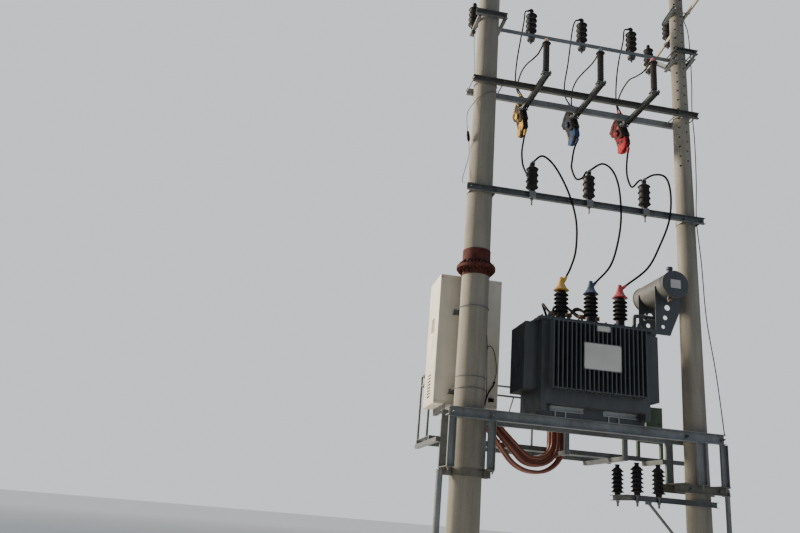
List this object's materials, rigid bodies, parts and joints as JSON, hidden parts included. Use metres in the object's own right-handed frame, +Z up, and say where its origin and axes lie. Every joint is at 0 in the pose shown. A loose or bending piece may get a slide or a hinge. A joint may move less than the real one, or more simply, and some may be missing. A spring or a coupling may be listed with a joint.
{
  "type": "pole mounted transformer",
  "caption": "Oil-filled distribution transformer on a steel platform between two round concrete poles, with its crossarms, insulators, fuse cutouts, conservator and switch cabinet.",
  "frame": {"origin": "centre of the left pole's flat foot at ground level", "axes": "+X along the crossarms from the left pole to the right pole, +Y away from the side the picture was taken from, +Z up along the poles"},
  "size_m": [3.427, 2.7079, 9.1],
  "materials": {
    "concrete": "matte",
    "rusty_steel": "matte",
    "galvanised_steel": "satin",
    "beige_paint": "satin",
    "dark_polymer": "satin",
    "yellow_silicone": "satin",
    "blue_silicone": "satin",
    "red_silicone": "satin",
    "tank_paint": "satin",
    "glazed_porcelain": "gloss",
    "black_rubber": "satin",
    "plate_metal": "satin",
    "cream_paint": "satin",
    "brown_plastic": "satin",
    "green_paint": "matte"
  },
  "bodies": {
    "root": {"left_pole_lower": "concrete", "left_pole_upper": "concrete", "pole_joint": "rusty_steel", "right_pole": "concrete", "top_arm": "galvanised_steel", "top_arm_clamps": "galvanised_steel", "line_insulators": "dark_polymer", "line_arm": "beige_paint", "line_arm_clamps": "galvanised_steel", "fuse_arms": "galvanised_steel", "arm_rods": "galvanised_steel", "mount_bars": "galvanised_steel", "arresters": "dark_polymer", "cutouts": "dark_polymer", "caps_yellow": "yellow_silicone", "caps_blue": "blue_silicone", "caps_red": "red_silicone", "post_arm": "galvanised_steel", "arm_straps": "galvanised_steel", "post_insulators": "dark_polymer", "platform_beams": "galvanised_steel", "beam_rods": "galvanised_steel", "pole_struts": "galvanised_steel", "pole_collars": "galvanised_steel", "base_frame": "tank_paint", "foot_bars": "galvanised_steel", "tank": "tank_paint", "long_fins": "tank_paint", "end_fins": "tank_paint", "lid": "tank_paint", "high_bushings": "dark_polymer", "low_bushings": "glazed_porcelain", "low_tails": "black_rubber", "conservator": "tank_paint", "conservator_plates": "tank_paint", "tank_fittings": "tank_paint", "blank_plates": "plate_metal", "cabinet": "cream_paint", "cabinet_doors": "cream_paint", "cabinet_brackets": "galvanised_steel", "low_ducts": "brown_plastic", "back_ducts": "brown_plastic", "walkway_frame": "galvanised_steel", "walkway_floor": "galvanised_steel", "walkway_rail": "galvanised_steel", "side_box": "green_paint", "low_arm": "galvanised_steel", "low_insulators": "dark_polymer", "down_pipes": "galvanised_steel", "high_jumpers": "black_rubber", "drop_leads": "black_rubber"}
  },
  "joints": []
}
